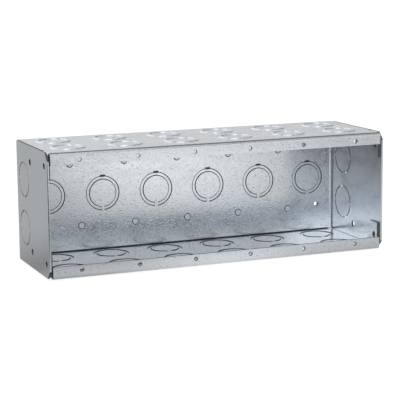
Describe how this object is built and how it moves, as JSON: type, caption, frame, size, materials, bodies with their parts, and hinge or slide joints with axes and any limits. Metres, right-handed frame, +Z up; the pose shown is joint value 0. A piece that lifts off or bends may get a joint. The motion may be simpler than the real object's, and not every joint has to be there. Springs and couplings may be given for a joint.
{
  "type": "multi-gang box",
  "caption": "Open-fronted wiring box folded from galvanised sheet steel, with nested knockouts in its walls and a row of device screw holes along each front flange.",
  "frame": {"origin": "centre of the box's bottom, on the surface that its bottom knockouts stand on", "axes": "+X along the row of gangs, -Y out of the open front, +Z up"},
  "size_m": [0.2802, 0.0904, 0.0962],
  "materials": {
    "galvanised_sheet": "galvanised, glossy, with fine spangle and light scratches"
  },
  "bodies": {
    "root": {"back_and_ends": "galvanised_sheet", "bottom_tray": "galvanised_sheet", "top_tray": "galvanised_sheet"}
  },
  "joints": []
}
